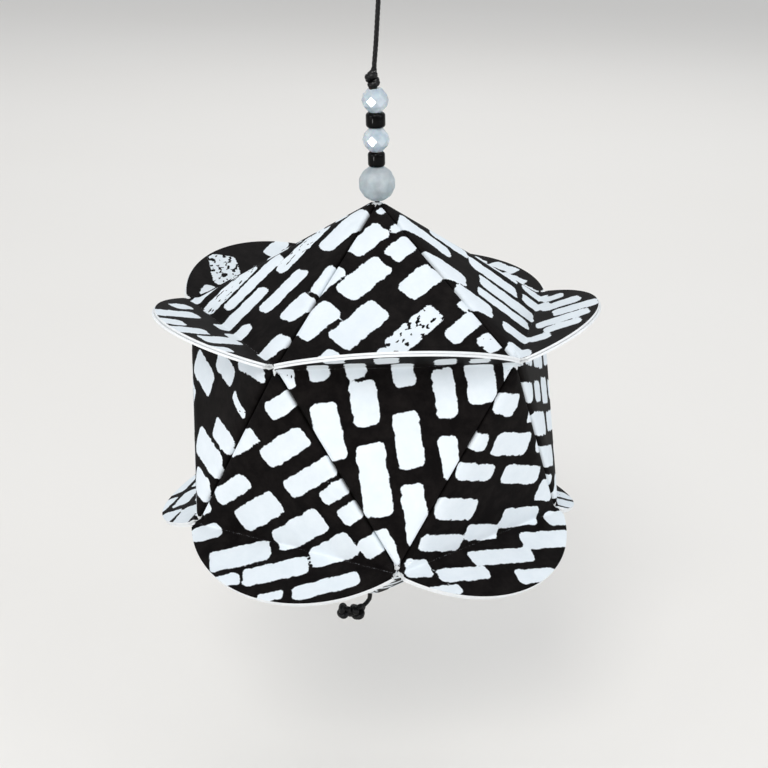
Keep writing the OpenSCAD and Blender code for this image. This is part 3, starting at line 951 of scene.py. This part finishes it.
def addCreaseDistance(mesh, flat, finLines):
    middle = (finLines[-1][0] + finLines[-card["foldSteps"]][0]) / 2
    best = np.abs(flat[:, 0] - middle)
    layer = mesh.attributes.new("crease", "FLOAT", "POINT")
    layer.data.foreach_set("value", best.astype(np.float32))


def foldedCircle(name, flatCard, finTurn, plan):
    # one circle, printed side up: two flaps fold down into the ball and one up into a fin
    deselectAll()
    sheet = flatCard.copy()
    sheet.data = flatCard.data.copy()
    sheet.name = sheet.data.name = name
    bpy.context.scene.collection.objects.link(sheet)
    makeActive(sheet)
    radius = card["finRadius"] + card["thick"] / 2
    corner = (card["crease"] - card["thick"] / math.tan(math.radians(card["squareFin"]))
              - card["glueHalf"] / math.sin(math.radians(finTurn)))
    start = corner - radius * math.tan(math.radians(finTurn / 2))
    finLines = foldLines(start, card["finRadius"], finTurn)
    bpy.ops.object.mode_set(mode="EDIT")
    for distance, _ in finLines:
        cutAcross(distance, 0)
    bpy.ops.object.mode_set(mode="OBJECT")
    openCorners(sheet, start)
    flat = flatPlaces(sheet.data)
    thirds = thirdOfVertices(sheet.data)
    paintDabs(sheet.data, flat, plan)
    addPrintMap(sheet.data, flat, plan["lean"])
    addCreaseDistance(sheet.data, flat, finLines)
    foldFlap(sheet, flat, thirds, 0, finLines, True)
    foldFlap(sheet, flat, thirds, 120, innerLines(), False)
    foldFlap(sheet, flat, thirds, 240, innerLines(), False)
    return sheet


def setOnBall(sheet, tilt, bearing, finUp):
    down = shift(0, 0, -card["thick"] / 2)
    placeAndApply(sheet, shift(0, 0, -ballDrop) @ turn(bearing, "Z") @ turn(tilt, "Y")
                  @ shift(0, 0, card["faceHeight"]) @ turn(180 if finUp else 0, "Z") @ down)


def trimCrown():
    bpy.ops.object.mode_set(mode="EDIT")
    bpy.ops.mesh.select_all(action="SELECT")
    bpy.ops.mesh.bisect(plane_co=(0, 0, (rowOfBeads["seat"] - ballDrop) * mm),
                        plane_no=(0, 0, 1), clear_outer=True)
    bpy.ops.object.mode_set(mode="OBJECT")


def thickenCard(sheet):
    finishIn(sheet, printedCard, bareCard)
    wall = sheet.modifiers.new("thick", "SOLIDIFY")
    wall.thickness, wall.offset = card["thick"] * mm, 0
    wall.use_quality_normals = True
    wall.material_offset = wall.material_offset_rim = 1
    applyModifiers(sheet)
    bpy.ops.object.shade_smooth_by_angle(angle=math.radians(card["smoothUnder"]))


def makeBall():
    flatCard = makeFlatCard()
    square, tilt, band = card["squareFin"], card["capTilt"], card["bandTilt"]
    kinds = {
        "top_disc": (tilt, -90, False, [square - d for d in card["droop"]]),
        "upper_disc": (band, -90, True, [square + d for d in card["droop"]]),
        "lower_disc": (180 - band, -54, False, [square + r for r in card["rise"]]),
        "bottom_disc": (180 - tilt, -54, True, [square - r for r in card["rise"]]),
    }
    seed = 0
    for kind, (faceTilt, bearing, finUp, turns) in kinds.items():
        for n in range(5):
            node = f"{kind}_{n + 1}"
            seed += 1
            spare = columnsOfDabs(unseenPrint["leans"][seed % 10], seed)
            plan = prints.get(node, spare)
            if "finOnly" in plan:
                body = [dab for dab in spare["dabs"] if dab[1] < card["crease"] - 5]
                plan = {"lean": plan["lean"], "dabs": plan["dabs"] + body}
            words = kind.split("_")
            name = f"{words[0]}{words[1].title()}{n + 1}"
            sheet = foldedCircle(name, flatCard, turns[n], plan)
            setOnBall(sheet, faceTilt, 72 * n + bearing, finUp)
            if kind == "top_disc":
                trimCrown()
            thickenCard(sheet)
            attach(sheet, "root")
            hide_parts(node)
        print(kind, "set made")
    bpy.data.objects.remove(flatCard)


makeBall()


# The floor and the lights.

studio = {
    "floorBelow": 235, "floorSize": 30,
    "floor": "#e6e3de", "floorPatch": "#eae8e4", "floorRoughness": 0.8, "patchScale": 3.0,
    "sky": "#f3f5f8", "skyStrength": 0.72,
    "lampsAim": (0, 0, -0.14),      # the middle of the ball
}
# place in metres, disc diameter in metres, power in watts
lamps = {
    "keyLight": {"place": (-0.32, -0.85, 0.6), "size": 0.45, "power": 5.2, "colour": "#fffdfa"},
    "fillLight": {"place": (0.95, -0.7, 0.15), "size": 0.7, "power": 3.9, "colour": "#f4f8ff"},
    "sideLight": {"place": (-1.0, -0.45, 0.05), "size": 0.6, "power": 2.7, "colour": "#f6f9ff"},
    "backLight": {"place": (0.2, 0.9, 0.6), "size": 0.8, "power": 2.6, "colour": "#ffffff"},
}
# three small lamps that only glint in the glass beads
glints = {
    "facetGlint": {"place": (-0.405, -0.432, -0.204), "size": 0.08, "power": 0.35},
    "leftGlint": {"place": (-0.33, -0.31, 0.7), "size": 0.05, "power": 4.5},
    "rightGlint": {"place": (0.245, -0.377, 0.7), "size": 0.05, "power": 4.5},
}


def makeFloor():
    deselectAll()
    bpy.ops.mesh.primitive_plane_add(size=studio["floorSize"],
                                     location=(0, 0, -studio["floorBelow"] * mm))
    floor = bpy.context.object
    floor.name = "floor"
    m = newMaterial("paintedStudioFloor")
    at = addNode(m, "ShaderNodeTexCoord").outputs["Object"]
    cloud = addNode(m, "ShaderNodeTexNoise", {"Vector": at, "Scale": studio["patchScale"],
                                              "Detail": 3.0}).outputs[0]
    colour = addNode(m, "ShaderNodeMix", {0: cloud, 6: srgb(studio["floor"]),
                     7: srgb(studio["floorPatch"])}, data_type="RGBA").outputs[2]
    finishMaterial(m, addNode(m, "ShaderNodeBsdfPrincipled", {
        "Base Color": colour, "Roughness": studio["floorRoughness"]}))
    finishIn(floor, m)


def softLight(name, place, size, power, colour="#ffffff", glintOnly=False):
    # an area light aimed at the ball
    deselectAll()
    bpy.ops.object.light_add(type="AREA", location=place)
    lamp = bpy.context.object
    lamp.name = name
    lamp.data.shape = "DISK"
    lamp.data.size, lamp.data.energy, lamp.data.color = size, power, srgb(colour)[:3]
    aim = Vector(studio["lampsAim"]) - Vector(place)
    lamp.visible_camera = False
    lamp.visible_diffuse = not glintOnly
    lamp.rotation_euler = aim.to_track_quat("-Z", "Y").to_euler()


def makeLights():
    for name, lamp in lamps.items():
        softLight(name, **lamp)
    for name, lamp in glints.items():
        softLight(name, **lamp, glintOnly=True)
    bpy.context.scene.view_settings.view_transform = "Standard"
    world = bpy.data.worlds.new("studioAir")
    bpy.context.scene.world = world
    world.use_nodes = True
    background = world.node_tree.nodes["Background"]
    background.inputs[0].default_value = srgb(studio["sky"])
    background.inputs[1].default_value = studio["skyStrength"]


makeFloor()
makeLights()
print("floor and lights made")

deselectAll()
